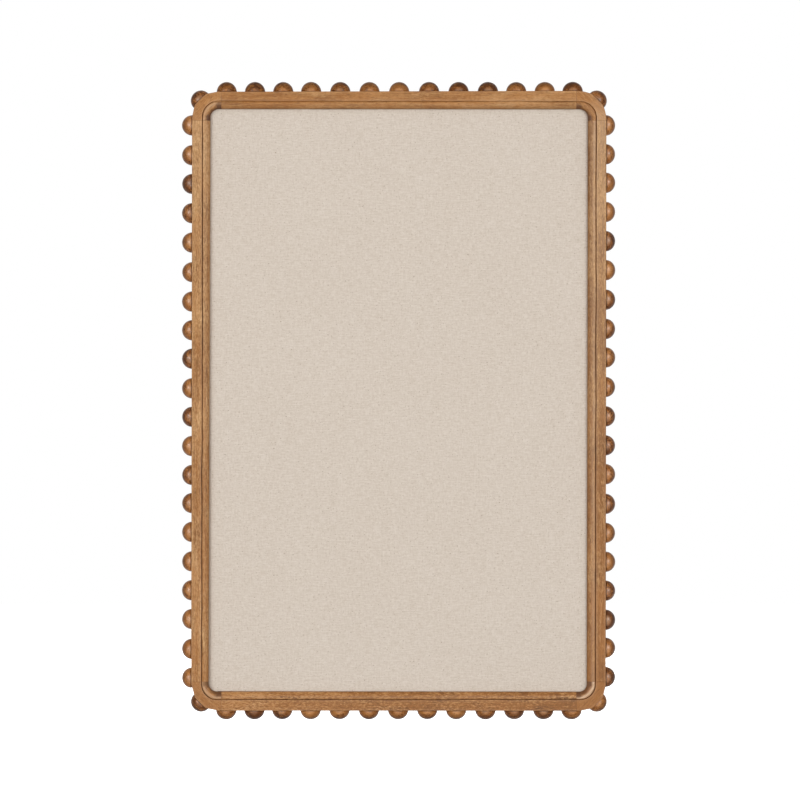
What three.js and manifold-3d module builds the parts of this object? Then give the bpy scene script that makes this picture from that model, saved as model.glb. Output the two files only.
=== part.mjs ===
// A wall-hung fabric pinboard. Four moulded wood rails and four curved corner blocks make the frame, with
// half-ball beads all round its outer edge. A soft board wrapped in linen lies in the frame behind the
// moulding, a screwed panel closes the back, and two D-rings on the side rails hang the board on two wall
// hooks. Millimetres: +X to the viewer's right, +Y back to the wall, +Z up. The origin is on the wall,
// midway between the points where the two hooks bear on the rings.
import * as THREE from "three";
import { mergeVertices } from "three/addons/utils/BufferGeometryUtils.js";
import Module from "manifold-3d";

const wasm = await Module();
wasm.setup();

// Overall size, over the tips of the beads
const overallWidth = 620.4;
const overallHeight = 914.4;

// Fits shared by every piece
const glueLine = 0.3;
const cutOverrun = 5;

// Section of the rails and corner blocks
const frameDepth = 30;
const railWidth = 25.6;
const flatBandWidth = 14.4;
const arrisRadius = 1.1;
const quirkWidth = 1.8;
const quirkDepth = 2.2;
const mouldingDrop = 0.6;
const mouldingDepth = 6.6;
const lipDepth = 8.2;
const frontLedgeWidth = 5.6;
const backLedgeWidth = 6;
const quirkFloorShare = 0.4;
const quirkArrisShare = 0.25;

// Corner blocks
const cornerRadius = 38;
const cornerArm = 42;
const beadSeatCut = 1.7;

// Half-ball beads, and the inlaid strip that carries each row of them
const beadDiameter = 28.5;
const beadPitch = 41.3;
const beadEndMargin = 49.2;
const stripWidth = 8;
const stripThickness = 3;
const stripOverhang = 6;
const neckWidth = 6;

// Dowels across the butt joints
const dowelDiameter = 6;
const dowelLength = 30;
const dowelInset = 8;
const frontDowelDepth = 7;
const backDowelDepth = 24;
const dowelChamfer = 0.7;

// Wrapped board and back panel
const boardEdgeGap = 0.5;
const linenThickness = 0.6;
const linenReturn = 28;
const fibreBoardThickness = 12;
const panelThickness = 3.2;
const panelEdgeGap = 0.4;

// Countersunk screws through the back panel
const backScrewHeadDiameter = 5;
const backScrewHeadHeight = 1.5;
const backScrewShankDiameter = 2.4;
const backScrewLength = 12;
const backScrewTipLength = 2;
const sideScrewPlaceShares = [-0.37, 0, 0.37];
const endScrewPlaceShares = [-0.3, 0.3];

// Cross recess in every screw head
const recessWidth = 0.7;
const recessLength = 2.8;
const recessDepth = 0.8;

// D-ring hangers
const hangerDrop = 170;
const strapWidth = 8.4;
const strapSheet = 0.8;
const strapLength = 25;
const strapEndRadius = 3;
const strapScrewDrop = 18.5;
const ringWireDiameter = 2;
const ringEyeWidth = 9.6;
const ringLegHeight = 4.6;
const ringBendRadius = 1.5;
const barClearance = 0.25;
const hangerScrewHeadDiameter = 5.6;
const hangerScrewHeadHeight = 1.8;
const hangerScrewShankDiameter = 2.8;
const hangerScrewLength = 16;
const hangerScrewTipLength = 2.5;

// Rubber bumpers
const bumperDiameter = 10;
const bumperHeight = 4.5;
const bumperEdgeRadius = 1.2;

// Counts of the facets that stand for round surfaces
const arrisSteps = 2;
const mouldingSteps = 6;
const cornerSteps = 8;
const beadSides = 12;
const beadRings = 4;
const roundSides = 10;
const dowelSides = 8;
const ringSides = 8;
const ringArcSteps = 8;
const ringBendSteps = 3;

// Sizes that follow from those above
const beadRadius = beadDiameter / 2;
const faceWidth = overallWidth - 2 * (beadRadius + glueLine);
const faceHeight = overallHeight - 2 * (beadRadius + glueLine);
const frontLedgeInset = railWidth - frontLedgeWidth;
const backFaceWidth = frontLedgeInset - backLedgeWidth;
const mouldingInset = flatBandWidth + quirkWidth;
const linenFront = lipDepth + glueLine;
const fibreBoardFront = linenFront + linenThickness + glueLine;
const fibreBoardBack = fibreBoardFront + fibreBoardThickness;
const linenBack = fibreBoardBack + glueLine + linenThickness;
const panelFront = linenBack + glueLine;
const panelBack = panelFront + panelThickness;
const beadDepth = frameDepth / 2;
const wallStandoff = bumperHeight + glueLine;
const ringRadius = (ringEyeWidth + ringWireDiameter) / 2;
const barrelRadius = ringWireDiameter / 2 + barClearance + strapSheet;
const hookBearing = ringLegHeight + ringEyeWidth / 2;

const degrees = Math.PI / 180;
const quarterTurn = 90 * degrees;

const materials = {
  wood: new THREE.MeshStandardMaterial({ color: 0xa87c50, roughness: 0.5, metalness: 0 }),
  bead: new THREE.MeshStandardMaterial({ color: 0x8f5c33, roughness: 0.35, metalness: 0 }),
  dowel: new THREE.MeshStandardMaterial({ color: 0xcaa877, roughness: 0.7, metalness: 0 }),
  linen: new THREE.MeshStandardMaterial({ color: 0xd6c8b9, roughness: 0.95, metalness: 0 }),
  fibreBoard: new THREE.MeshStandardMaterial({ color: 0x9d8a6c, roughness: 0.95, metalness: 0 }),
  panel: new THREE.MeshStandardMaterial({ color: 0x7a5636, roughness: 0.75, metalness: 0 }),
  steel: new THREE.MeshStandardMaterial({ color: 0xb4b3ae, roughness: 0.35, metalness: 1 }),
  rubber: new THREE.MeshStandardMaterial({ color: 0x2b2a29, roughness: 0.8, metalness: 0 }),
};

// A closed geometry as a solid that can be joined and cut
function solidOf(geometry) {
  const bare = geometry.clone();
  bare.deleteAttribute("normal");
  bare.deleteAttribute("uv");
  const merged = mergeVertices(bare, 1e-4);
  return new wasm.Manifold(
    new wasm.Mesh({
      numProp: 3,
      vertProperties: new Float32Array(merged.attributes.position.array),
      triVerts: new Uint32Array(merged.index.array),
    }),
  );
}

// A solid back as a geometry with flat faces
function geometryOf(solid) {
  const mesh = solid.getMesh();
  const geometry = new THREE.BufferGeometry();
  geometry.setAttribute("position", new THREE.BufferAttribute(mesh.vertProperties, 3));
  geometry.setIndex(new THREE.BufferAttribute(mesh.triVerts, 1));
  const flat = geometry.toNonIndexed();
  flat.computeVertexNormals();
  return flat;
}

function joined(base, additions) {
  return additions.reduce((solid, addition) => solid.add(solidOf(addition)), base);
}

function cut(base, cutters) {
  return cutters.reduce((solid, cutter) => solid.subtract(solidOf(cutter)), base);
}

function addPiece(parent, name, geometry, material) {
  const mesh = new THREE.Mesh(geometry, material);
  mesh.name = name;
  parent.add(mesh);
  return mesh;
}

// Points of an elliptical quarter, from straight towards the front to straight inwards
function quarterPoints(inset, depth, reach, rise, steps) {
  const points = [];
  for (let i = 0; i <= steps; i += 1) {
    const turn = (quarterTurn * i) / steps;
    points.push(new THREE.Vector2(inset + reach * Math.sin(turn), depth - rise * Math.cos(turn)));
  }
  return points;
}

// Section of the frame. The first coordinate runs inwards from the outer edge, the second back from the
// front
function frameSection() {
  const arris = quarterPoints(arrisRadius, arrisRadius, -arrisRadius, arrisRadius, arrisSteps).reverse();
  const quirkFloor = quirkWidth * quirkFloorShare;
  const quirkSlope = (quirkWidth - quirkFloor) / 2;
  const quirkArris = quirkDepth * quirkArrisShare;
  return [
    ...arris,
    new THREE.Vector2(flatBandWidth - quirkArris, 0),
    new THREE.Vector2(flatBandWidth, quirkArris),
    new THREE.Vector2(flatBandWidth + quirkSlope, quirkDepth),
    new THREE.Vector2(mouldingInset - quirkSlope, quirkDepth),
    ...quarterPoints(
      mouldingInset,
      mouldingDepth,
      railWidth - mouldingInset,
      mouldingDepth - mouldingDrop,
      mouldingSteps,
    ),
    new THREE.Vector2(railWidth, lipDepth),
    new THREE.Vector2(frontLedgeInset, lipDepth),
    new THREE.Vector2(frontLedgeInset, linenBack),
    new THREE.Vector2(backFaceWidth, linenBack),
    new THREE.Vector2(backFaceWidth, frameDepth),
    new THREE.Vector2(arrisRadius, frameDepth),
    new THREE.Vector2(0, frameDepth - arrisRadius),
  ];
}

// A section carried from station to station. A station is a point on the outer edge, as its place across and
// up, and the direction from there inwards
function sweptGeometry(section, stations) {
  const positions = [];
  for (const { across, up, inAcross, inUp } of stations) {
    for (const point of section) {
      positions.push(across + inAcross * point.x, point.y, up + inUp * point.x);
    }
  }
  const count = section.length;
  const last = (stations.length - 1) * count;
  const triangles = [];
  for (let ring = 0; ring < last; ring += count) {
    for (let i = 0; i < count; i += 1) {
      const next = (i + 1) % count;
      triangles.push(ring + i, ring + next, ring + count + next);
      triangles.push(ring + i, ring + count + next, ring + count + i);
    }
  }
  for (const [a, b, c] of THREE.ShapeUtils.triangulateShape(section, [])) {
    triangles.push(c, b, a);
    triangles.push(last + a, last + b, last + c);
  }
  const geometry = new THREE.BufferGeometry();
  geometry.setAttribute("position", new THREE.Float32BufferAttribute(positions, 3));
  geometry.setIndex(triangles);
  return geometry;
}

function boxBetween(low, high) {
  const size = high.clone().sub(low);
  const centre = low.clone().add(high).divideScalar(2);
  return new THREE.BoxGeometry(size.x, size.y, size.z).translate(centre.x, centre.y, centre.z);
}

// A rectangle with round corners, centred on the origin
function roundedRectangle(width, height, radius, steps) {
  const points = [];
  for (let corner = 0; corner < 4; corner += 1) {
    const sideways = corner === 0 || corner === 3 ? 1 : -1;
    const upwards = corner < 2 ? 1 : -1;
    for (let i = 0; i <= steps; i += 1) {
      const turn = quarterTurn * (corner + i / steps);
      points.push(
        new THREE.Vector2(
          sideways * (width / 2 - radius) + radius * Math.cos(turn),
          upwards * (height / 2 - radius) + radius * Math.sin(turn),
        ),
      );
    }
  }
  return new THREE.Shape(points);
}

// A sheet that fills the frame as far out as an inset from the outer edge, between two depths
function sheetGeometry(inset, front, back) {
  const outline = roundedRectangle(
    faceWidth - 2 * inset,
    faceHeight - 2 * inset,
    cornerRadius - inset,
    cornerSteps,
  );
  const geometry = new THREE.ExtrudeGeometry(outline, { depth: back - front, bevelEnabled: false });
  return geometry.rotateX(quarterTurn).translate(0, back, 0);
}

// A turned piece whose axis runs along +Y
function turned(profile, sides) {
  return new THREE.LatheGeometry(
    profile.map(([radius, height]) => new THREE.Vector2(radius, height)),
    sides,
  );
}

// Half-ball with the middle of its flat side at the origin and its crown along +Y
function beadGeometry() {
  const profile = [[0, 0]];
  for (let i = 0; i < beadRings; i += 1) {
    const turn = (quarterTurn * i) / beadRings;
    profile.push([beadRadius * Math.cos(turn), beadRadius * Math.sin(turn)]);
  }
  return turned([...profile, [0, beadRadius]], beadSides);
}

// Centres of the beads along a rail, evenly spaced between the end margins
function beadCentres(edgeLength) {
  const run = edgeLength - 2 * beadEndMargin;
  const gaps = Math.max(1, Math.round(run / beadPitch));
  return Array.from({ length: gaps + 1 }, (_, i) => run * (i / gaps - 0.5));
}

// A row of beads, each on a square neck that stands on the strip, in the rail's frame: +X inwards, +Y back,
// +Z along the rail
function beadRowGeometry(edgeLength) {
  const centres = beadCentres(edgeLength);
  const reach = centres[centres.length - 1] + stripOverhang;
  const strip = boxBetween(
    new THREE.Vector3(0, beadDepth - stripWidth / 2, -reach),
    new THREE.Vector3(stripThickness, beadDepth + stripWidth / 2, reach),
  );
  const neck = neckWidth / 2;
  const beads = centres.flatMap((place) => [
    beadGeometry().rotateZ(quarterTurn).translate(-glueLine, beadDepth, place),
    boxBetween(
      new THREE.Vector3(-beadRadius / 2, beadDepth - neck, place - neck),
      new THREE.Vector3(stripThickness / 2, beadDepth + neck, place + neck),
    ),
  ]);
  return geometryOf(joined(solidOf(strip), beads));
}

// The groove in a rail's outer edge that takes the strip
function stripGroove(edgeLength) {
  const centres = beadCentres(edgeLength);
  const reach = centres[centres.length - 1] + stripOverhang + glueLine;
  const halfWidth = stripWidth / 2 + glueLine;
  return boxBetween(
    new THREE.Vector3(-cutOverrun, beadDepth - halfWidth, -reach),
    new THREE.Vector3(stripThickness + glueLine, beadDepth + halfWidth, reach),
  );
}

// A dowel along +Z, centred on the joint line
function dowelGeometry() {
  const radius = dowelDiameter / 2;
  const half = dowelLength / 2;
  const profile = [
    [0, -half],
    [radius - dowelChamfer, -half],
    [radius, dowelChamfer - half],
    [radius, half - dowelChamfer],
    [radius - dowelChamfer, half],
    [0, half],
  ];
  return turned(profile, dowelSides).rotateX(quarterTurn);
}

// The hole that takes a dowel, a little wider and longer than the dowel
function dowelHole() {
  const radius = dowelDiameter / 2 + glueLine;
  const length = dowelLength + 2 * glueLine;
  return new THREE.CylinderGeometry(radius, radius, length, dowelSides).rotateX(quarterTurn);
}

const dowelDepths = { front: frontDowelDepth, back: backDowelDepth };

// Distance from the middle of an edge to the joint line at its end
function jointPlace(edgeLength) {
  return edgeLength / 2 - cornerArm - glueLine / 2;
}

function railGeometry(edgeLength, screwPlaces, hangerPlace) {
  const half = edgeLength / 2 - cornerArm - glueLine;
  const stations = [-half, half].map((up) => ({ across: 0, up, inAcross: 1, inUp: 0 }));
  const rail = solidOf(sweptGeometry(frameSection(), stations));
  const cutters = [stripGroove(edgeLength)];
  for (const end of [-1, 1]) {
    for (const depth of Object.values(dowelDepths)) {
      cutters.push(dowelHole().translate(dowelInset, depth, end * jointPlace(edgeLength)));
    }
  }
  for (const place of screwPlaces) {
    cutters.push(backScrewHole().translate(backScrewInset(), panelBack, place));
  }
  if (hangerPlace !== null) {
    cutters.push(hangerScrewHole().translate(backFaceWidth / 2, hangerScrewSeat(), hangerPlace));
  }
  return geometryOf(cut(rail, cutters));
}

// A corner block, in a frame whose origin is where the two outer edges would meet: +X inwards from the first
// edge, -Z inwards from the second
function cornerGeometry() {
  const stations = [{ across: 0, up: -cornerArm, inAcross: 1, inUp: 0 }];
  for (let i = 0; i <= cornerSteps; i += 1) {
    const turn = (quarterTurn * i) / cornerSteps;
    stations.push({
      across: cornerRadius * (1 - Math.cos(turn)),
      up: cornerRadius * (Math.sin(turn) - 1),
      inAcross: Math.cos(turn),
      inUp: -Math.sin(turn),
    });
  }
  stations.push({ across: cornerArm, up: 0, inAcross: 0, inUp: -1 });
  const block = solidOf(sweptGeometry(frameSection(), stations));
  const seat = boxBetween(
    new THREE.Vector3(-cornerRadius, -cutOverrun, cornerRadius - beadSeatCut),
    new THREE.Vector3(cornerRadius, frameDepth + cutOverrun, cornerRadius + cutOverrun),
  );
  seat.rotateY(-quarterTurn / 2).translate(cornerRadius, 0, -cornerRadius);
  const joint = -cornerArm - glueLine / 2;
  const cutters = [seat];
  for (const depth of Object.values(dowelDepths)) {
    cutters.push(dowelHole().translate(dowelInset, depth, joint));
    cutters.push(dowelHole().rotateY(quarterTurn).translate(-joint, depth, -dowelInset));
  }
  return geometryOf(cut(block, cutters));
}

// The single bead on a corner block, in the block's frame
function cornerBeadGeometry() {
  return beadGeometry()
    .rotateX(quarterTurn)
    .translate(0, beadDepth, cornerRadius - beadSeatCut + glueLine)
    .rotateY(-quarterTurn / 2)
    .translate(cornerRadius, 0, -cornerRadius);
}

// Linen wrapped over the front and edges of the fibre board and turned in behind it
function linenGeometry() {
  const outside = frontLedgeInset + boardEdgeGap;
  const inside = outside + linenThickness;
  const cloth = solidOf(sheetGeometry(outside, linenFront, linenBack));
  const cavity = sheetGeometry(inside, linenFront + linenThickness, fibreBoardBack + glueLine);
  const window = boxBetween(
    new THREE.Vector3(
      outside + linenReturn - faceWidth / 2,
      fibreBoardBack,
      outside + linenReturn - faceHeight / 2,
    ),
    new THREE.Vector3(
      faceWidth / 2 - outside - linenReturn,
      linenBack + cutOverrun,
      faceHeight / 2 - outside - linenReturn,
    ),
  );
  return geometryOf(cut(cloth, [cavity, window]));
}

function fibreBoardGeometry() {
  const inset = frontLedgeInset + boardEdgeGap + linenThickness + glueLine;
  return sheetGeometry(inset, fibreBoardFront, fibreBoardBack);
}

function panelGeometry(screwPlaces) {
  const panel = solidOf(sheetGeometry(backFaceWidth + panelEdgeGap, panelFront, panelBack));
  const holes = screwPlaces.map(({ x, z }) => backScrewHole().translate(x, panelBack, z));
  return geometryOf(cut(panel, holes));
}

function crossRecess(top) {
  const long = recessLength / 2;
  const short = recessWidth / 2;
  return [
    [long, short],
    [short, long],
  ].map(([x, z]) =>
    boxBetween(
      new THREE.Vector3(-x, top - recessDepth, -z),
      new THREE.Vector3(x, top + cutOverrun, z),
    ),
  );
}

// Countersunk screw with its head's top at the origin and its tip along -Y, grown by a clearance for its
// hole
function countersunkScrew(clearance) {
  const head = backScrewHeadDiameter / 2 + clearance;
  const shank = backScrewShankDiameter / 2 + clearance;
  const tip = -backScrewLength - clearance;
  const over = clearance > 0 ? cutOverrun : 0;
  const profile = [
    [0, tip],
    [shank, tip + backScrewTipLength],
    [shank, -backScrewHeadHeight],
    [head, 0],
  ];
  if (over > 0) {
    profile.push([head, over]);
  }
  profile.push([0, over]);
  return turned(profile, roundSides);
}

function backScrewHole() {
  return countersunkScrew(glueLine);
}

function backScrewGeometry() {
  return geometryOf(cut(solidOf(countersunkScrew(0)), crossRecess(0)));
}

// Distance from the outer edge to the back screws: the middle of the panel's rest on the ledge
function backScrewInset() {
  return (backFaceWidth + panelEdgeGap + frontLedgeInset) / 2;
}

// Depth of the seat of the hanger's screw head: on top of the strap's two layers
function hangerScrewSeat() {
  return frameDepth + glueLine + 2 * strapSheet + glueLine;
}

// Pan-head screw with the underside of its head at the origin and its tip along -Y
function hangerScrewGeometry() {
  const shank = hangerScrewShankDiameter / 2;
  const head = hangerScrewHeadDiameter / 2;
  const crownShare = 0.55;
  const profile = [
    [0, -hangerScrewLength],
    [shank, hangerScrewTipLength - hangerScrewLength],
    [shank, 0],
    [head, 0],
    [head, hangerScrewHeadHeight * crownShare],
    [head * crownShare, hangerScrewHeadHeight],
    [0, hangerScrewHeadHeight],
  ];
  return geometryOf(cut(solidOf(turned(profile, roundSides)), crossRecess(hangerScrewHeadHeight)));
}

function hangerScrewHole() {
  const radius = hangerScrewShankDiameter / 2 + glueLine;
  const tip = -hangerScrewLength - glueLine;
  const profile = [
    [0, tip],
    [radius, tip + hangerScrewTipLength],
    [radius, cutOverrun],
    [0, cutOverrun],
  ];
  return turned(profile, roundSides);
}

// Sheet-steel strap folded round the ring's bar, in a frame whose X axis is the bar and whose +Y is the back
function strapGeometry() {
  const barrel = new THREE.CylinderGeometry(barrelRadius, barrelRadius, strapWidth, 2 * roundSides);
  barrel.rotateZ(quarterTurn);
  const outline = new THREE.Shape();
  const half = strapWidth / 2;
  const bendCentre = half - strapEndRadius;
  const bendHeight = strapEndRadius - strapLength;
  outline.moveTo(-half, 0);
  outline.lineTo(-half, bendHeight);
  outline.absarc(-bendCentre, bendHeight, strapEndRadius, Math.PI, 1.5 * Math.PI);
  outline.absarc(bendCentre, bendHeight, strapEndRadius, 1.5 * Math.PI, 0);
  outline.lineTo(half, 0);
  const layers = new THREE.ExtrudeGeometry(outline, {
    depth: 2 * strapSheet,
    bevelEnabled: false,
    curveSegments: ringBendSteps,
  });
  layers.rotateX(quarterTurn).translate(0, 2 * strapSheet - barrelRadius, 0);
  const bore = ringWireDiameter / 2 + barClearance;
  const barHole = new THREE.CylinderGeometry(bore, bore, strapWidth + cutOverrun, roundSides);
  const screwRadius = hangerScrewShankDiameter / 2 + glueLine;
  const screwHole = new THREE.CylinderGeometry(screwRadius, screwRadius, 2 * cutOverrun, roundSides);
  return geometryOf(
    cut(joined(solidOf(barrel), [layers]), [
      barHole.rotateZ(quarterTurn),
      screwHole.translate(0, strapSheet - barrelRadius, -strapScrewDrop),
    ]),
  );
}

// Centre line of the D-ring, across and up from the middle of its bar, going round anticlockwise
function ringPath() {
  const points = [];
  const bend = (acrossSign, startTurn) => {
    for (let i = 0; i <= ringBendSteps; i += 1) {
      const turn = startTurn + (quarterTurn * i) / ringBendSteps;
      points.push(
        new THREE.Vector2(
          acrossSign * (ringRadius - ringBendRadius) + ringBendRadius * Math.cos(turn),
          ringBendRadius + ringBendRadius * Math.sin(turn),
        ),
      );
    }
  };
  bend(-1, Math.PI);
  bend(1, -quarterTurn);
  for (let i = 0; i <= ringArcSteps; i += 1) {
    const turn = (Math.PI * i) / ringArcSteps;
    points.push(
      new THREE.Vector2(ringRadius * Math.cos(turn), ringLegHeight + ringRadius * Math.sin(turn)),
    );
  }
  return points;
}

// Round wire along a closed flat loop in the XZ plane
function ringGeometry() {
  const path = ringPath();
  const positions = [];
  const triangles = [];
  const wire = ringWireDiameter / 2;
  path.forEach((point, i) => {
    const before = path[(i + path.length - 1) % path.length];
    const after = path[(i + 1) % path.length];
    const incoming = point.clone().sub(before).normalize();
    const outgoing = after.clone().sub(point).normalize();
    const along = incoming.clone().add(outgoing).normalize();
    const stretch = 1 / along.dot(incoming);
    for (let side = 0; side < ringSides; side += 1) {
      const turn = (2 * Math.PI * side) / ringSides;
      const outwards = wire * stretch * Math.cos(turn);
      positions.push(
        point.x + along.y * outwards,
        wire * Math.sin(turn),
        point.y - along.x * outwards,
      );
      const nextPoint = ((i + 1) % path.length) * ringSides;
      const nextSide = (side + 1) % ringSides;
      const here = i * ringSides;
      triangles.push(here + side, here + nextSide, nextPoint + nextSide);
      triangles.push(here + side, nextPoint + nextSide, nextPoint + side);
    }
  });
  const geometry = new THREE.BufferGeometry();
  geometry.setAttribute("position", new THREE.Float32BufferAttribute(positions, 3));
  geometry.setIndex(triangles);
  return geometryOf(solidOf(geometry));
}

function bumperGeometry() {
  const radius = bumperDiameter / 2;
  const profile = [
    [0, 0],
    [radius, 0],
    [radius, bumperHeight - bumperEdgeRadius],
    [radius - bumperEdgeRadius, bumperHeight],
    [0, bumperHeight],
  ];
  return turned(profile, roundSides);
}

// The four sides, each a quarter turn about Y from the one before, with the corner block at its far end
const upright = { length: faceHeight, across: faceWidth, screwShares: sideScrewPlaceShares };
const level = { length: faceWidth, across: faceHeight, screwShares: endScrewPlaceShares };
const sides = [
  { name: "left", corner: "top_left", ...upright },
  { name: "top", corner: "top_right", ...level },
  { name: "right", corner: "bottom_right", ...upright },
  { name: "bottom", corner: "bottom_left", ...level },
];

// Height of the ring's bar above the middle of the frame
const barHeight = faceHeight / 2 - hangerDrop;
const hangerSides = { left: 1, right: -1 };

const pinboard = new THREE.Group();
const frame = new THREE.Group();
frame.position.set(0, -wallStandoff - frameDepth, -hookBearing - barHeight);
pinboard.add(frame);

const screwPlaces = [];
sides.forEach((side, turnCount) => {
  const turn = new THREE.Group();
  turn.rotation.y = turnCount * quarterTurn;
  frame.add(turn);
  const edge = new THREE.Group();
  edge.position.x = -side.across / 2;
  turn.add(edge);
  const corner = new THREE.Group();
  corner.position.z = side.length / 2;
  edge.add(corner);

  const places = side.screwShares.map((share) => share * side.length);
  const direction = hangerSides[side.name];
  const hangerPlace = direction === undefined ? null : direction * (barHeight - strapScrewDrop);
  const rail = railGeometry(side.length, places, hangerPlace);
  addPiece(edge, `rail_${side.name}`, rail, materials.wood);
  addPiece(edge, `bead_row_${side.name}`, beadRowGeometry(side.length), materials.bead);
  addPiece(corner, `corner_${side.corner}`, cornerGeometry(), materials.wood);
  addPiece(corner, `bead_${side.corner}`, cornerBeadGeometry(), materials.bead);

  for (const [layer, depth] of Object.entries(dowelDepths)) {
    for (const [end, sign] of [["start", -1], ["end", 1]]) {
      const dowel = addPiece(edge, `dowel_${side.name}_${end}_${layer}`, dowelGeometry(), materials.dowel);
      dowel.position.set(dowelInset, depth, sign * jointPlace(side.length));
    }
  }
  places.forEach((place, i) => {
    const screw = addPiece(edge, `back_screw_${side.name}_${i + 1}`, backScrewGeometry(), materials.steel);
    screw.position.set(backScrewInset(), panelBack, place);
    const seat = new THREE.Vector3(backScrewInset() - side.across / 2, 0, place);
    screwPlaces.push(seat.applyAxisAngle(new THREE.Vector3(0, 1, 0), turn.rotation.y));
  });
});

addPiece(frame, "linen_cover", linenGeometry(), materials.linen);
addPiece(frame, "fibre_board", fibreBoardGeometry(), materials.fibreBoard);
addPiece(frame, "back_panel", panelGeometry(screwPlaces), materials.panel);

for (const [name, sign] of Object.entries(hangerSides)) {
  const hanger = new THREE.Group();
  hanger.position.set(
    sign * (backFaceWidth / 2 - faceWidth / 2),
    frameDepth + glueLine + barrelRadius,
    barHeight,
  );
  frame.add(hanger);
  addPiece(hanger, `hanger_strap_${name}`, strapGeometry(), materials.steel);
  addPiece(hanger, `hanger_ring_${name}`, ringGeometry(), materials.steel);
  const screw = addPiece(hanger, `hanger_screw_${name}`, hangerScrewGeometry(), materials.steel);
  screw.position.set(0, 2 * strapSheet + glueLine - barrelRadius, -strapScrewDrop);

  const bumper = addPiece(frame, `bumper_${name}`, bumperGeometry(), materials.rubber);
  const diagonal = (cornerRadius - backFaceWidth / 2) * Math.SQRT1_2;
  bumper.position.set(
    sign * (cornerRadius - diagonal - faceWidth / 2),
    frameDepth + glueLine,
    cornerRadius - diagonal - faceHeight / 2,
  );
}

export default pinboard;
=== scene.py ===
# The finished surfaces of a wall-hung fabric pinboard, built round its fixed frame of solids. Metres, +X to
# the viewer's right, +Y back to the wall, +Z up.
import math
import random
from collections import namedtuple

import bpy
from mathutils import Matrix, Vector, geometry, noise


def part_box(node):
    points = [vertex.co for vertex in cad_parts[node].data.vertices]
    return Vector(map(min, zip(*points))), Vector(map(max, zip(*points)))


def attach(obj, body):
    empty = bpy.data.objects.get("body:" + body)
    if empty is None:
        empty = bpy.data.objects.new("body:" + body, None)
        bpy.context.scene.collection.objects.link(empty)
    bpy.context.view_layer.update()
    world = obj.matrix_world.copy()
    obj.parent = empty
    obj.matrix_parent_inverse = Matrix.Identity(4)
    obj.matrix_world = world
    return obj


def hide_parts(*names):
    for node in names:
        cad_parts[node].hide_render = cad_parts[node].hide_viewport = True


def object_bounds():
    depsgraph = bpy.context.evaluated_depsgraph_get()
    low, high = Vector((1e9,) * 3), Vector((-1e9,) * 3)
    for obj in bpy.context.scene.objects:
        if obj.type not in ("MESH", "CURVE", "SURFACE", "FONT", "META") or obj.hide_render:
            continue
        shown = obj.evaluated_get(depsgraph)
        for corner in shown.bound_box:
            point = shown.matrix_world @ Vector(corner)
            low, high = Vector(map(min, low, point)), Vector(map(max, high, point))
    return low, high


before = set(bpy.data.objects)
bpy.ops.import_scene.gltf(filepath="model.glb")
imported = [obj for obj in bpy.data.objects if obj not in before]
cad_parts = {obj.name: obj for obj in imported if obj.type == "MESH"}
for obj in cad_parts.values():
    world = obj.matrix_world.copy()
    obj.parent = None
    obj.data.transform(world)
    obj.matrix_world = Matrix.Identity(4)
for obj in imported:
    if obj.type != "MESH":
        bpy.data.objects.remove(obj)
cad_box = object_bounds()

MM = 0.001

# Section of the rails and corner blocks: inwards from the outer edge, and back from the front face
FLAT_BAND = 14.4 * MM
ARRIS_RADIUS = 1.1 * MM
QUIRK_WIDTH = 0.75 * MM
QUIRK_DEPTH = 2.2 * MM
MOULDING_SHOULDER = 3 * MM
MOULDING_DROP = 0.6 * MM
MOULDING_DEPTH = 6.6 * MM
LIP_DEPTH = 8.2 * MM
FRONT_LEDGE = 5.6 * MM
BACK_LEDGE = 6 * MM
SOFT_EDGE = 0.35 * MM
GLUE_LINE = 0.3 * MM
CORNER_RADIUS = 38 * MM
BEAD_SEAT_CUT = 1.7 * MM

# Hand-finished unevenness of the wood
STATION_STEP = 4 * MM
QUIRK_SWAY = 0.3 * MM
QUIRK_FRAY = 0.28 * MM
QUIRK_FADE = 0.25
SWAY_LENGTH = 55 * MM
FRAY_LENGTH = 9 * MM
FAR_FRAY_LENGTH = 14 * MM
FADE_LENGTH = 18 * MM
SEAM_EASE = 0.15 * MM
SEAM_REACH = 0.9 * MM
SEAM_STAIN = 0.35

# How a stretch of the frame has come out of the hand: depth of stain, its warmth, rubbed edges with a
# painted highlight on the moulding's crest, painted shade of the moulding where it falls towards the cloth
# (below none it paints the moulding paler, as painted light), darkening in the quirk that is partly stain
# and partly painted shade, and millimetres that the outer edge, quirk and lip lie further in. Each rail has
# one for its first end and one for its last, going round the frame from the bottom of the left side.
Look = namedtuple("Look", "tone warm rub fall line edge_in quirk_in lip_in")
RAIL_LOOKS = {
    "left": (
        Look(tone=0.5, warm=0.2, rub=0, fall=0.15, line=1, edge_in=-0.7, quirk_in=-0.6, lip_in=-1.7),
        Look(tone=-0.3, warm=-0.1, rub=0.45, fall=0.25, line=1, edge_in=0.6, quirk_in=0.6, lip_in=0.9),
    ),
    "top": (
        Look(tone=0.7, warm=0.3, rub=0, fall=0.2, line=0.1, edge_in=1.1, quirk_in=-0.2, lip_in=-0.3),
        Look(tone=-0.3, warm=0.15, rub=0.1, fall=0.3, line=0.2, edge_in=0, quirk_in=0.3, lip_in=0),
    ),
    "right": (
        Look(tone=0.4, warm=-0.4, rub=1.1, fall=0.45, line=0.8, edge_in=-0.5, quirk_in=-1, lip_in=0),
        Look(tone=1.6, warm=0.2, rub=0.6, fall=0.1, line=0.8, edge_in=0.4, quirk_in=0.2, lip_in=1.6),
    ),
    "bottom": (
        Look(tone=2.7, warm=0.3, rub=0.3, fall=-0.2, line=0.7, edge_in=0.7, quirk_in=1.8, lip_in=1.9),
        Look(tone=0.3, warm=0.4, rub=0.2, fall=-0.1, line=0.7, edge_in=1, quirk_in=2, lip_in=2.5),
    ),
}

# Speckle in the grain of each rail: 0 is plain, less is fainter, more is stronger
RAIL_SPECKLES = {"left": 0.1, "top": -0.6, "right": 0, "bottom": 2}
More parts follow.
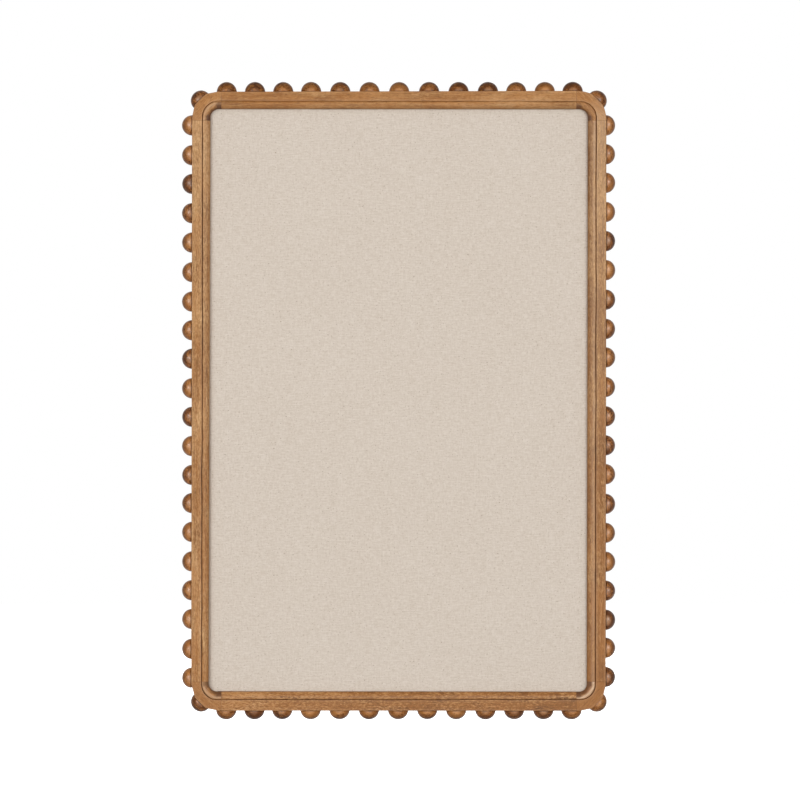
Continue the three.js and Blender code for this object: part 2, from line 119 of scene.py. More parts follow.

# Stain of each corner block, its rubbed edges with a painted highlight on the crest, how dark its end grain
# and a painted shade along the steep slope by the lip have turned, how much of the end grain's darkness
# shows beside the quirk at its first and last seam, millimetres sanded off beside its bead, and that bead's
# stain
CornerLook = namedtuple("CornerLook", "tone rub turned first last sanded bead")
CORNER_LOOKS = {
    "top_left": CornerLook(tone=0.5, rub=1.2, turned=1, first=-0.3, last=0.8, sanded=1, bead=1.4),
    "top_right": CornerLook(tone=0.5, rub=0.2, turned=0.9, first=0.4, last=0.1, sanded=0.5, bead=0.4),
    "bottom_right": CornerLook(tone=1.4, rub=3, turned=0.8, first=-0.6, last=-0.6, sanded=1, bead=-0.5),
    "bottom_left": CornerLook(tone=0.8, rub=1.2, turned=0.9, first=-0.6, last=0.6, sanded=1.4, bead=1.8),
}
CORNER_WARMTH = 0.4
END_GRAIN_REACH = 0.36
END_GRAIN_FADE = 0.34
END_GRAIN_FRAY = 0.16
# Painted shade in a crescent along the steep slope of a corner block's moulding: where it starts, and how
# dark
SHADE_CRESCENT_START = 0.66
CRESCENT_SHADE = 0.9

# Half-ball beads
BEAD_PITCH = 41.3 * MM
BEAD_BASE_FILLET = 0.5 * MM
BEAD_WANDER = 1.3 * MM
BEAD_FALL_SHORT = 0.015
# Reach of the painted contact shadow at the foot of a bead
BEAD_FOOT = 1.3 * MM
BEAD_SIDES = 40
BEAD_TONES = (-3.2, 1.9)
# Strength of the painted highlight on the front of each bead's crown, drawn at random
PAINTED_HIGHLIGHTS = (0.15, 0.65)
# Painted shade on each row of beads, most on the top and bottom rows
PAINTED_ROW_SHADES = {"left": 0, "top": 0.3, "right": 0, "bottom": 0.2}
BEAD_RISES = {"left": 1.03, "top": 1, "right": 0.98, "bottom": 0.91}
BEAD_SPREAD = 1.03
# Painted shade on each bead: darkest at its rim and where it turns away from the front, less along the frame
BEAD_DARKEST = 0.58
BEAD_ALONG = 0.15
BEAD_FALL_OFF = 1.7
RIM_FACING = 0.32
# Where the front of a bead's crown starts, which takes the painted highlight and more gloss
CROWN_FACING = 0.82
CROWN_GLOSS = 0.65
SIDE_GLOSS = 0.2
# Painted contact shadow at the foot of the beads, weaker at one corner
FOOT_SHADE = 0.9
CORNER_FOOT_SHADES = {"bottom_right": 0.15}
# Painted shade on the corner beads
PAINTED_CORNER_BEAD_SHADE = 0.15
GLUE_SEAT = 0.9
GLUE_SHOWING = 0.02 * MM
BEAD_DRIFTS = {
    "left": (-2.6 * MM, -1.3 * MM, 0.9 * MM, 1.4 * MM),
    "top": (0, -0.4 * MM, -2.4 * MM, 2.4 * MM),
    "right": (-1.4 * MM, 0.6 * MM, -0.9 * MM, 1.4 * MM),
    "bottom": (-0.7 * MM, 1.4 * MM, -1.7 * MM, 0.7 * MM),
}

# Wrapped cloth
CLOTH_THICKNESS = 0.6 * MM
CLOTH_ROLL = 0.9 * MM
CLOTH_RETURN = 28 * MM
CLOTH_RIPPLE = 0.1 * MM
RIPPLE_LENGTH = 70 * MM
CLOTH_MIDDLE = 6 * MM
CLOTH_STEP = 20 * MM
CLOTH_STEPS = 12
NEAR_RIM = (12, 8, 6, 4.5, 3.5, 2.7, 2, 1.4, 0.9, 0.4, -0.2, -1.5)
THREAD_PITCH = 0.72 * MM
# Painted shadow of the frame's lip on the cloth: how far it reaches, and how dark at the sides and at the
# top and bottom
SHADOW_REACH = 2.6 * MM
SIDE_SHADOW = 0.4
END_SHADOW = 0.16

# D-ring hangers
RING_WIRE = 2 * MM
RING_EYE = 9.6 * MM
RING_LEG = 4.6 * MM
RING_BEND = 1.5 * MM
STRAP_SHEET = 0.8 * MM
STRAP_END_RADIUS = 3 * MM
STRAP_FOLD_GAP = 0.03 * MM
STRAP_NECK = 3.4 * MM
STRAP_WRAP = math.radians(50)
STRAP_EDGE = 0.12 * MM
STRAP_SHARES = (-1, -0.93, -0.75, -0.5, -0.25, 0, 0.25, 0.5, 0.75, 0.93, 1)
BAR_CLEARANCE = 0.25 * MM

# Screws and bumpers
BACK_SCREW_HEAD_HEIGHT = 1.5 * MM
BACK_SCREW_SHANK = 2.4 * MM
BACK_SCREW_TIP = 2 * MM
HANGER_SCREW_SHANK = 2.8 * MM
HANGER_SCREW_HEAD_HEIGHT = 1.8 * MM
HANGER_SCREW_TIP = 2.5 * MM
HEAD_EDGE = 0.25 * MM
THREAD_HEIGHT = 0.3 * MM
SCREW_THREAD_PITCH = 1.1 * MM
RECESS_WIDTH = 0.7 * MM
RECESS_LENGTH = 2.8 * MM
RECESS_DEPTH = 0.8 * MM
RECESS_TAPER = 0.86
SCREW_SIDES = 32
BUMPER_EDGE = 1.2 * MM
PANEL_EDGE = 0.3 * MM

# Places that follow from the frame
left_low, left_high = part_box("rail_left")
top_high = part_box("rail_top")[1]
bottom_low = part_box("rail_bottom")[0]
linen_low, linen_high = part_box("linen_cover")
FRONT = left_low.y
FRAME_DEPTH = left_high.y - FRONT
RAIL_WIDTH = left_high.x - left_low.x
FACE_WIDTH = -2 * left_low.x
FACE_HEIGHT = top_high.z - bottom_low.z
MIDDLE = (top_high.z + bottom_low.z) / 2
SEAM_REST = top_high.z - left_high.z
BOARD_BACK = linen_high.y - FRONT
CLOTH_INSET = linen_low.x - left_low.x
SEAT_TURN = math.acos((CORNER_RADIUS - BEAD_SEAT_CUT) / CORNER_RADIUS)
TO_WALL = Vector((0, 1, 0)).to_track_quat("Z", "Y").to_matrix()

rng = random.Random(7)


class Side(namedtuple("Side", "name corner quarter length across")):
    """One edge of the frame: inset from the outer edge, depth from the front and place along the edge."""

    def turned(self, x, z):
        for _ in range(self.quarter):
            x, z = z, -x
        return x, z

    def at(self, inset, depth, along):
        x, z = self.turned(inset - self.across / 2, along)
        return Vector((x, FRONT + depth, MIDDLE + z))

    def way(self, inwards, along):
        x, z = self.turned(inwards, along)
        return Vector((x, 0, z))


SIDES = [
    Side("left", "top_left", 0, FACE_HEIGHT, FACE_WIDTH),
    Side("top", "top_right", 1, FACE_WIDTH, FACE_HEIGHT),
    Side("right", "bottom_right", 2, FACE_HEIGHT, FACE_WIDTH),
    Side("bottom", "bottom_left", 3, FACE_WIDTH, FACE_HEIGHT),
]


def wave(place, length, seed):
    """Smooth unevenness, from about -1 to 1, that changes over a length."""
    return noise.noise(Vector((place / length, seed, 0.5))) * 1.6


def steps(low, high, count):
    return [low + (high - low) * i / count for i in range(count + 1)]


# Meshes

SHARP_ANGLE = math.radians(35)


def put_in_scene(name, data):
    made = bpy.data.objects.new(name, data)
    bpy.context.scene.collection.objects.link(made)
    return made


def ring_of_faces(here, there, count):
    """Faces between two rings of points, whose first points have the numbers here and there."""
    return [(here + i, here + (i + 1) % count, there + (i + 1) % count, there + i) for i in range(count)]


def add_piece(name, points, faces, material, node, body="board", values=None):
    """A piece that rides on a body and stands for a node, with the values that its material reads."""
    mesh = bpy.data.meshes.new(name)
    mesh.from_pydata([tuple(point) for point in points], [], faces)
    for key, numbers in (values or {}).items():
        vectors = hasattr(numbers[0], "__len__")
        attribute = mesh.attributes.new(key, "FLOAT_VECTOR" if vectors else "FLOAT", "POINT")
        if vectors:
            attribute.data.foreach_set("vector", [x for vector in numbers for x in vector])
        else:
            attribute.data.foreach_set("value", numbers)
    mesh.polygons.foreach_set("use_smooth", [True] * len(mesh.polygons))
    mesh.set_sharp_from_angle(angle=SHARP_ANGLE)
    mesh.materials.append(material)
    mesh.update()
    piece = put_in_scene(name, mesh)
    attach(piece, body)
    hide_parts(node)
    return piece


def tube_faces(rings, count, closed=False):
    """Faces between rings of points, with a flat face at both ends unless the rings close on themselves."""
    faces = []
    for ring in range(rings if closed else rings - 1):
        faces += ring_of_faces(ring * count, (ring + 1) % rings * count, count)
    if not closed:
        faces += [tuple(range(count))[::-1], tuple(range((rings - 1) * count, rings * count))]
    return faces


def turned_solid(profile, sides):
    """Points and faces of a profile of (radius, height) turned about +Z, from pole to pole."""
    points = [Vector((0, 0, profile[0][1]))]
    for radius, height in profile[1:-1]:
        for i in range(sides):
            turn = 2 * math.pi * i / sides
            points.append(Vector((radius * math.cos(turn), radius * math.sin(turn), height)))
    points.append(Vector((0, 0, profile[-1][1])))
    faces = []
    rings = len(profile) - 2
    for ring in range(rings - 1):
        faces += ring_of_faces(1 + ring * sides, 1 + (ring + 1) * sides, sides)
    last, top = 1 + (rings - 1) * sides, len(points) - 1
    for i in range(sides):
        j = (i + 1) % sides
        faces += [(0, 1 + j, 1 + i), (last + i, last + j, top)]
    return points, faces


# Materials


def srgb(*levels):
    """Red, green and blue as eyes read them, from 0 to 255, in the light that a shader counts in."""
    shares = [level / 255 for level in levels]
    return *(share / 12.92 if share <= 0.04045 else ((share + 0.055) / 1.055) ** 2.4 for share in shares), 1


class Finish:
    """A material, with short calls that add nodes and join them."""

    def __init__(self, name, **sockets):
        self.material = bpy.data.materials.new(name)
        self.material.use_nodes = True
        tree = self.material.node_tree
        self.nodes, self.links = tree.nodes, tree.links
        self.shader = self.nodes["Principled BSDF"]
        for socket, value in sockets.items():
            self.shader.inputs[socket.replace("_", " ").title().replace("Ior", "IOR")].default_value = value

    def feed(self, socket, value):
        if isinstance(value, bpy.types.NodeSocket):
            self.links.new(value, socket)
        else:
            socket.default_value = value

    def node(self, kind, inputs=(), **settings):
        made = self.nodes.new(kind)
        for key, value in settings.items():
            setattr(made, key, value)
        for place, value in dict(inputs).items():
            self.feed(made.inputs[place], value)
        return made

    def attribute(self, name, output="Fac"):
        return self.node("ShaderNodeAttribute", attribute_name=name).outputs[output]

    def noise(self, vector, per_metre, detail=2, roughness=0.5, distortion=0):
        stretched = self.node("ShaderNodeVectorMath", {0: vector, 1: per_metre}, operation="MULTIPLY")
        inputs = {"Vector": stretched.outputs[0], "Scale": 1, "Detail": detail}
        inputs |= {"Roughness": roughness, "Distortion": distortion}
        return self.node("ShaderNodeTexNoise", inputs).outputs["Fac"]

    def ranged(self, value, low, high, to_low=0, to_high=1):
        inputs = {"Value": value, 1: low, 2: high, 3: to_low, 4: to_high}
        return self.node("ShaderNodeMapRange", inputs).outputs[0]

    def swing(self, value, amount, low=0.25, high=0.75):
        """From less to more by an amount as the value goes from low to high."""
        return self.ranged(value, low, high, -amount, amount)

    def math(self, operation, first, second=0):
        return self.node("ShaderNodeMath", {0: first, 1: second}, operation=operation).outputs[0]

    def added(self, *values):
        total = values[0]
        for value in values[1:]:
            total = self.math("ADD", total, value)
        return total

    def times(self, first, second):
        return self.math("MULTIPLY", first, second)

    def mixed(self, share, first, second):
        return self.node("ShaderNodeMix", {0: share, 6: first, 7: second}, data_type="RGBA").outputs[2]

    def dressed(self, colour, relief, distance, strength, rough=None):
        """The finished material, from its colour, its relief in metres and its roughness."""
        inputs = {"Height": relief, "Distance": distance, "Strength": strength}
        bump = self.node("ShaderNodeBump", inputs).outputs["Normal"]
        self.feed(self.shader.inputs["Base Color"], colour)
        self.feed(self.shader.inputs["Normal"], bump)
        if rough is not None:
            self.feed(self.shader.inputs["Roughness"], rough)
        return self.material


def wood_finish(name, pale, mid, deep, stained, worn_and_highlight, dark, roughness, gloss, contrast=1, polished=False):
    """Stained wood whose grain runs along the first axis of the piece's own grain coordinates."""
    finish = Finish(name, specular_ior_level=gloss)
    if polished:
        polish = finish.times(finish.attribute("polish"), gloss)
        finish.feed(finish.shader.inputs["Specular IOR Level"], polish)
    grain = finish.attribute("grain", "Vector")
    patches = finish.noise(grain, (11, 42, 42))
    blotches = finish.noise(grain, (120, 170, 170), detail=3, roughness=0.6, distortion=0.6)
    streaks = finish.noise(grain, (20, 330, 330), detail=4, roughness=0.6)
    fibres = finish.noise(grain, (95, 1500, 1500), detail=3, roughness=0.6)
    speckle = finish.noise(grain, (210, 500, 500), detail=3, roughness=0.7)
    warmth = finish.noise(grain, (23, 90, 90), detail=3)
    pores = finish.ranged(finish.noise(grain, (150, 2300, 2300), detail=1), 0.62, 0.74)
    flecks = finish.ranged(finish.noise(grain, (260, 850, 850)), 0.56, 0.72, 0, 0.4)
    dashes = finish.ranged(finish.noise(grain, (85, 640, 640), detail=1), 0.6, 0.74, 0, 0.45)
    shade = finish.added(
        finish.swing(patches, 0.36 * contrast),
        finish.swing(blotches, 0.3 * contrast),
        finish.swing(streaks, 0.48 * contrast),
        finish.swing(fibres, 0.42),
        finish.times(finish.swing(speckle, 0.5 * contrast), finish.added(finish.attribute("speckle"), 1)),
        finish.times(finish.attribute("tone"), 0.35),
    )
    colour = finish.mixed(finish.ranged(shade, -0.6, 0), pale, mid)
    colour = finish.mixed(finish.ranged(shade, 0, 0.6), colour, deep)
    specks = finish.times(finish.attribute("speckle"), finish.ranged(shade, 0.35, 1.1, 0, 0.5))
    colour = finish.mixed(specks, colour, dark)
    warmth = finish.added(warmth, finish.times(finish.attribute("warm"), 0.6))
    colour = finish.mixed(finish.ranged(warmth, 0.4, 0.7, 0, 0.55), colour, stained)
    for marks in (finish.times(pores, 0.45), flecks, dashes):
        colour = finish.mixed(marks, colour, dark)
    # Rubbed edges, together with painted highlights on moulding crests and bead crowns
    wear_and_highlight = finish.times(finish.attribute("wear_and_highlight"), finish.ranged(streaks, 0.35, 0.6, 0.35, 0.9))
    colour = finish.mixed(wear_and_highlight, colour, worn_and_highlight)
    # Stain in joints and end grain, together with painted shade in recesses, by the lip and on the beads
    shade_and_stain = finish.times(finish.attribute("shade_and_stain"), finish.ranged(patches, 0.3, 0.6, 0.84, 1))
    colour = finish.mixed(shade_and_stain, colour, dark)
    rough = finish.ranged(streaks, 0.3, 0.7, roughness - 0.06, roughness + 0.08)
    relief = finish.math("SUBTRACT", finish.times(fibres, 0.6), pores)
    return finish.dressed(colour, relief, 0.06 * MM, 0.6, rough)


def linen_finish():
    """Natural plain weave with slubs along both threads and a few dark seed flecks."""
    finish = Finish("natural_linen", roughness=0.92, specular_ior_level=0.12, sheen_weight=0.12)
    finish.shader.inputs["Sheen Roughness"].default_value = 0.6
    cloth = finish.attribute("cloth", "Vector")
    parts = finish.node("ShaderNodeSeparateXYZ", {0: cloth})
    across, upwards = (
        finish.math("SINE", finish.times(parts.outputs[axis], math.pi / THREAD_PITCH)) for axis in (0, 1)
    )
    over = finish.ranged(finish.times(across, upwards), -0.3, 0.3)
    crossings = finish.times(finish.math("ABSOLUTE", across), finish.math("ABSOLUTE", upwards))
    weft = finish.noise(cloth, (95, 1250, 0), roughness=0.6)
    warp = finish.noise(cloth, (1250, 110, 0), roughness=0.6)
    threads = finish.mixed(over, weft, warp)
    slubs = finish.noise(cloth, (80, 560, 0), roughness=0.6)
    slubs_up = finish.noise(cloth, (520, 80, 0), roughness=0.6)
    mottle = finish.noise(cloth, (310, 360, 0), detail=3, roughness=0.7)
    clouds = finish.noise(cloth, (9, 9, 0))
    shade = finish.added(
        finish.swing(threads, 0.36, 0.2, 0.8),
        finish.swing(slubs, 0.44),
        finish.swing(slubs_up, 0.28),
        finish.swing(mottle, 0.56),
        finish.swing(clouds, 0.06),
        0.5,
    )
    colour = finish.mixed(shade, srgb(208, 194, 179), srgb(224, 213, 201))
    flecks = finish.ranged(finish.noise(cloth, (400, 480, 0), detail=1), 0.66, 0.76, 0, 0.75)
    colour = finish.mixed(flecks, colour, srgb(158, 134, 108))
    gaps = finish.ranged(crossings, 0, 0.25, 0.2, 0)
    colour = finish.mixed(gaps, colour, srgb(160, 142, 122))
    # Painted shadow of the frame's lip on the cloth
    colour = finish.mixed(finish.attribute("dust_and_shadow"), colour, srgb(118, 86, 54))
    relief = finish.added(crossings, finish.times(threads, 0.8))
    return finish.dressed(colour, relief, 0.12 * MM, 0.7)


def board_finish(name, pale, deep, roughness, fleck_size):
    """Pressed wood fibre: a fine mottle with short darker fibres."""
    finish = Finish(name, specular_ior_level=0.3)
    place = finish.node("ShaderNodeTexCoord").outputs["Object"]
    mottle = finish.noise(place, (60, 60, 60), detail=4, roughness=0.65)
    fibres = finish.noise(place, (fleck_size, fleck_size * 0.4, fleck_size * 1.3), detail=3, distortion=1.5)
    shade = finish.added(finish.ranged(mottle, 0.3, 0.7, 0, 0.6), finish.ranged(fibres, 0.35, 0.65, 0, 0.4))
    rough = finish.ranged(fibres, 0.3, 0.7, roughness - 0.08, roughness + 0.08)
    return finish.dressed(finish.mixed(shade, pale, deep), fibres, 0.05 * MM, 0.5, rough)


def steel_finish():
    finish = Finish("zinc_plated_steel", metallic=1)
    place = finish.node("ShaderNodeTexCoord").outputs["Object"]
    bloom = finish.noise(place, (700, 700, 700), detail=4, roughness=0.6)
    brushed = finish.noise(place, (2600, 2600, 300))
    colour = finish.mixed(finish.ranged(bloom, 0.3, 0.7), srgb(176, 176, 170), srgb(140, 140, 136))
    return finish.dressed(colour, brushed, 0.02 * MM, 0.4, finish.ranged(bloom, 0.3, 0.7, 0.3, 0.5))


def rubber_finish():
    finish = Finish("black_rubber", specular_ior_level=0.3)
    place = finish.node("ShaderNodeTexCoord").outputs["Object"]
    dust_and_shadow = finish.noise(place, (500, 500, 500), detail=4, roughness=0.7)
    pebbles = finish.noise(place, (2400, 2400, 2400))
    colour = finish.mixed(finish.ranged(dust_and_shadow, 0.35, 0.75), srgb(38, 37, 36), srgb(62, 60, 57))
    return finish.dressed(colour, pebbles, 0.04 * MM, 0.5, finish.ranged(dust_and_shadow, 0.3, 0.7, 0.62, 0.86))


RAIL_WOOD = wood_finish(
    "stained_rail_wood",
    pale=srgb(208, 164, 114),
    mid=srgb(181, 134, 83),
    deep=srgb(134, 87, 42),
    stained=srgb(172, 113, 55),
    worn_and_highlight=srgb(216, 183, 150),
    dark=srgb(76, 41, 17),
    roughness=0.46,
    gloss=0.32,
)
BEAD_WOOD = wood_finish(
    "stained_bead_wood",
    pale=srgb(196, 132, 72),
    mid=srgb(162, 101, 48),
    deep=srgb(100, 57, 26),
    stained=srgb(150, 86, 37),
    worn_and_highlight=srgb(210, 156, 104),
    dark=srgb(50, 28, 11),
    roughness=0.32,
    gloss=0.75,
    contrast=1.9,
    polished=True,
)
LINEN = linen_finish()
FIBRE_BOARD = board_finish("pressed_fibre_board", srgb(176, 158, 128), srgb(138, 120, 92), 0.92, 320)
HARDBOARD = board_finish("smooth_hardboard", srgb(142, 102, 66), srgb(108, 74, 46), 0.55, 520)
PLAIN_WOOD = board_finish("plain_dowel_wood", srgb(206, 178, 140), srgb(178, 146, 106), 0.7, 700)
STEEL = steel_finish()
RUBBER = rubber_finish()


# Rails and corner blocks

# Places across the flat band, from its outer to its inner edge, with the rubbing there, at both edges also a
# painted highlight, and the stain there
BAND_MARKS = (
    (0.07, 0.08, 0.02), (0.16, 0, 0.07), (0.4, 0, 0.03), (0.65, 0, 0), (0.86, 0.03, 0), (1, 0.2, 0)
)


def quarter(inset, depth, reach, rise, count):
    """Points of an elliptical quarter, from straight towards the front to straight inwards."""
    return [
        (inset + reach * math.sin(turn), depth - rise * math.cos(turn))
        for turn in steps(0, math.pi / 2, count)
    ]


def frame_section(look, sway, fray, far_fray):
    """Section of the frame as (inset, depth, rubbing with painted highlight, stain with painted shade), with
    the quirk swayed and frayed by hand.
    """
    edge = look.edge_in * MM
    quirk = FLAT_BAND + look.quirk_in * MM + sway
    lip = RAIL_WIDTH + look.lip_in * MM
    shoulder = quirk + QUIRK_WIDTH + far_fray * 0.5
    crest = shoulder + MOULDING_SHOULDER
    front_ledge = RAIL_WIDTH - FRONT_LEDGE
    back_face = front_ledge - BACK_LEDGE
    arris = quarter(ARRIS_RADIUS, ARRIS_RADIUS, -ARRIS_RADIUS, ARRIS_RADIUS, 5)[::-1]
    # Outer arris: rubbing with a painted highlight along it
    section = [(edge + inset, depth, 0.12 * i / 5, 0) for i, (inset, depth) in enumerate(arris)]
    start, band = edge + ARRIS_RADIUS, quirk - SOFT_EDGE - fray
    rubbed = max(0, -look.warm)
    for share, wear_and_highlight, shade_and_stain in BAND_MARKS:
        section.append((start + (band - start) * share, 0, wear_and_highlight + rubbed, shade_and_stain))
    # The quirk, darkened partly by stain and partly by painted shade
    section += [
        (quirk - fray - SOFT_EDGE * 0.3, SOFT_EDGE * 0.3, 0.1, look.line * 0.25),
        (quirk - fray * 0.5, SOFT_EDGE, 0, look.line * 0.75),
        (quirk + QUIRK_WIDTH * 0.25, QUIRK_DEPTH - SOFT_EDGE, 0, look.line),
        (quirk + QUIRK_WIDTH * 0.6, QUIRK_DEPTH, 0, look.line),
    ]
    climb = QUIRK_DEPTH - MOULDING_DROP
    for i, turn in enumerate(steps(0, math.pi / 2, 9)[:-1]):
        inset = crest - MOULDING_SHOULDER * math.cos(turn)
        # Rubbing with a painted highlight up the shoulder, while the quirk's darkening, partly stain and
        # partly painted shade, runs out
        wear_and_highlight = look.rub * min(0.5, 0.07 * i)
        stain = look.line * max(0, 1 - 0.24 * i)
        section.append((inset, QUIRK_DEPTH - climb * math.sin(turn), wear_and_highlight, stain))
    reach, rise = lip - crest, MOULDING_DEPTH - MOULDING_DROP
    for i, (inset, depth) in enumerate(quarter(crest, MOULDING_DEPTH, reach, rise, 18)):
        # Rubbing with a painted highlight on the crest
        wear_and_highlight = look.rub * max(0, 0.5 - 0.09 * i)
        # Painted shade on the moulding's slope towards the cloth, set for each rail
        deepened = max(0, look.fall) * min(1, i / 8) ** 0.8
        # Painted shade at the foot of the moulding by the lip
        lip_shade = max(0, i - 10) / 8 * 0.4
        section.append((inset, depth, wear_and_highlight, max(deepened, lip_shade)))
    # Painted shade under the lip, on the ledge and in the rebate behind the board
    section += [
        (lip, LIP_DEPTH - SOFT_EDGE, 0, 0.5),
        (lip - SOFT_EDGE, LIP_DEPTH, 0, 0.75),
        (front_ledge, LIP_DEPTH, 0, 1),
        (front_ledge, BOARD_BACK, 0, 0.6),
        (back_face + SOFT_EDGE, BOARD_BACK, 0, 0.6),
        (back_face, BOARD_BACK + SOFT_EDGE, 0, 0.4),
        (back_face, FRAME_DEPTH - SOFT_EDGE, 0, 0.1),
        (back_face - SOFT_EDGE, FRAME_DEPTH, 0.3, 0),
        ((back_face + ARRIS_RADIUS) / 2, FRAME_DEPTH, 0, 0),
    ]
    section += [(edge + inset, FRAME_DEPTH - depth, 0.3, 0) for inset, depth in reversed(arris)]
    section += [(edge, depth, 0, 0) for depth in steps(FRAME_DEPTH - ARRIS_RADIUS, ARRIS_RADIUS, 6)[1:-1]]
    return section


def eased(section, amount):
    """The section drawn in by an amount all round, for the softened edge at a seam."""
    if amount == 0:
        return section
    drawn = []
    for i, (inset, depth, wear_and_highlight, shade_and_stain) in enumerate(section):
        before, after = section[i - 1], section[(i + 1) % len(section)]
        along = Vector((after[0] - before[0], after[1] - before[1])).normalized()
        drawn.append((inset - along.y * amount, depth + along.x * amount, wear_and_highlight, max(shade_and_stain, SEAM_STAIN)))
    return drawn


def seam_end(place):
    """The last places before a seam, with how far each is drawn in."""
    return [(place, SEAM_EASE), (place - SEAM_REACH * 0.3, SEAM_EASE * 0.35), (place - SEAM_REACH * 0.7, 0)]


def seam_stations(half):
    """Places along a piece from one end to the other, closer at the ends, with how far each is drawn in."""
    inner = half - SEAM_REACH
    count = max(2, round(2 * inner / STATION_STEP))
    ends = seam_end(half)
    low = [(-place, ease) for place, ease in ends]
    return low + [(place, 0) for place in steps(-inner, inner, count)] + ends[::-1]


def blended(first, last, share):
    return Look(*(low + (high - low) * share for low, high in zip(first, last)))


def section_at(place, look, seed):
    sway = QUIRK_SWAY * wave(place, SWAY_LENGTH, seed)
    fray = QUIRK_FRAY * max(0, wave(place, FRAY_LENGTH, seed + 3))
    far_fray = QUIRK_FRAY * wave(place, FAR_FRAY_LENGTH, seed + 6)
    line = min(1, look.line * (1 + QUIRK_FADE * wave(place, FADE_LENGTH, seed + 9)))
    return frame_section(look._replace(line=line), sway, fray, far_fray)


def on_moulding(inset, depth):
    return inset > FLAT_BAND + QUIRK_WIDTH * 2 and depth < LIP_DEPTH


def stain_and_light_at(look, inset, depth):
    """Depth of stain, plus painted light: the moulding is painted paler where the painted shade of its slope
    is below none.
    """
    return look.tone + 4 * min(0, look.fall) * on_moulding(inset, depth)


def add_wood(name, node, rings, points, **values):
    """A rail or corner block from its rings of section entries and the points that they stand for."""
    values["wear_and_highlight"] = [entry[2] for ring in rings for entry in ring]
    values["shade_and_stain"] = [entry[3] for ring in rings for entry in ring]
    faces = tube_faces(len(rings), len(rings[0]))
    add_piece(name, points, faces, RAIL_WOOD, node, values=values)


def make_rail(side, seed):
    half = side.length / 2 - SEAM_REST
    rings, points, grain, tone, warm = [], [], [], [], []
    for place, ease in seam_stations(half):
        look = blended(*RAIL_LOOKS[side.name], (place / half + 1) / 2)
        ring = eased(section_at(place, look, seed), ease)
        for inset, depth, _, _ in ring:
            points.append(side.at(inset, depth, place))
            grain.append((place + seed, inset, depth + seed))
            tone.append(stain_and_light_at(look, inset, depth))
            warm.append(look.warm)
        rings.append(ring)
    speckle = [RAIL_SPECKLES[side.name]] * len(points)
    name, node = f"moulded_rail_{side.name}", f"rail_{side.name}"
    add_wood(name, node, rings, points, grain=grain, tone=tone, warm=warm, speckle=speckle)


def corner_stations():
    """Stations round a corner block as (turn, straight run beyond the arc, drawn in)."""
    arm = SEAM_REST - CORNER_RADIUS
    turns = steps(0, math.pi / 2, 44) + [math.pi / 4 - SEAT_TURN, math.pi / 4 + SEAT_TURN]
    start = [(0, run, ease) for run, ease in seam_end(arm) + [(arm / 2, 0)]]
    end = [(math.pi / 2, run, ease) for _, run, ease in reversed(start)]
    return start + [(turn, 0, 0) for turn in sorted(turns)] + end


def end_grain_and_shade(inset, turn, own_look, seed):
    """How dark the end grain of a corner block has turned on its moulding, most at its seams, with painted
    shade in a crescent along the steep slope by the lip.
    """
    steep = min(1, max(0, inset - FLAT_BAND) / (RAIL_WIDTH - FLAT_BAND))
    fray = END_GRAIN_FRAY * noise.noise(Vector((inset / (2 * MM), turn * 6, seed)))
    beyond = min(turn, math.pi / 2 - turn) - END_GRAIN_REACH * steep + fray
    near_seam = min(1, max(0, 0.5 - beyond / END_GRAIN_FADE))
    at_groove = own_look.first if turn < math.pi / 4 else own_look.last
    across = min(1, max(0, steep + fray - 0.25) / 0.4)
    # Painted shade along the steep slope by the lip
    crescent = min(1, max(0, steep + fray * 0.5 - SHADE_CRESCENT_START) / 0.25)
    darkest = max(near_seam * max(0, at_groove + (1 - at_groove) * across), CRESCENT_SHADE * crescent)
    return darkest * own_look.turned


def beside_bead(turn):
    """From 1 at a seam of a corner block to nothing where the seat of its bead starts."""
    return max(0, 1 - min(turn, math.pi / 2 - turn) / (math.pi / 4 - SEAT_TURN))


def sanded_off(inset, turn, amount):
    """How far sanding beside the bead has drawn in a point of a corner block, most at its outer edge."""
    share = math.sin(math.pi * beside_bead(turn))
    return amount * MM * share * max(0, 1 - inset / FLAT_BAND)


def make_corner(side, following, seed):
    own_look = CORNER_LOOKS[side.corner]
    rings, points, grain = [], [], []
    for turn, run, ease in corner_stations():
        before, after = RAIL_LOOKS[side.name][1], RAIL_LOOKS[following.name][0]
        nearer = before if turn < math.pi / 4 else after
        look = blended(before, after, turn / (math.pi / 2))
        look = look._replace(rub=own_look.rub, edge_in=nearer.edge_in * beside_bead(turn))
        ring = eased(section_at(turn * CORNER_RADIUS + run, look, seed), ease)
        seat = CORNER_RADIUS - (CORNER_RADIUS - BEAD_SEAT_CUT) / math.cos(turn - math.pi / 4)
        placed = []
        for inset, depth, wear_and_highlight, shade_and_stain in ring:
            inset = max(inset + sanded_off(inset, turn, own_look.sanded), seat)
            if on_moulding(inset, depth):
                shade_and_stain = max(shade_and_stain, end_grain_and_shade(inset, turn, own_look, seed))
                wear_and_highlight *= 1 - min(1, shade_and_stain)
            placed.append((inset, depth, wear_and_highlight, shade_and_stain))
            across = CORNER_RADIUS - (CORNER_RADIUS - inset) * math.cos(turn) + run * (turn > 0)
            up = (CORNER_RADIUS - inset) * math.sin(turn) - CORNER_RADIUS - run * (turn == 0)
            points.append(side.at(across, depth, side.length / 2 + up))
            chord, radial = (across + up) * math.sqrt(0.5), (across - up) * math.sqrt(0.5)
            grain.append((chord + seed, radial, depth + seed))
        rings.append(placed)
    tone, warm = [own_look.tone] * len(points), [CORNER_WARMTH] * len(points)
    name, node = f"corner_block_{side.corner}", f"corner_{side.corner}"
    add_wood(name, node, rings, points, grain=grain, tone=tone, warm=warm)


for index, one_side in enumerate(SIDES):
    make_rail(one_side, 1.3 + index)
    make_corner(one_side, SIDES[(index + 1) % 4], 5.7 + index)


# Half-ball beads


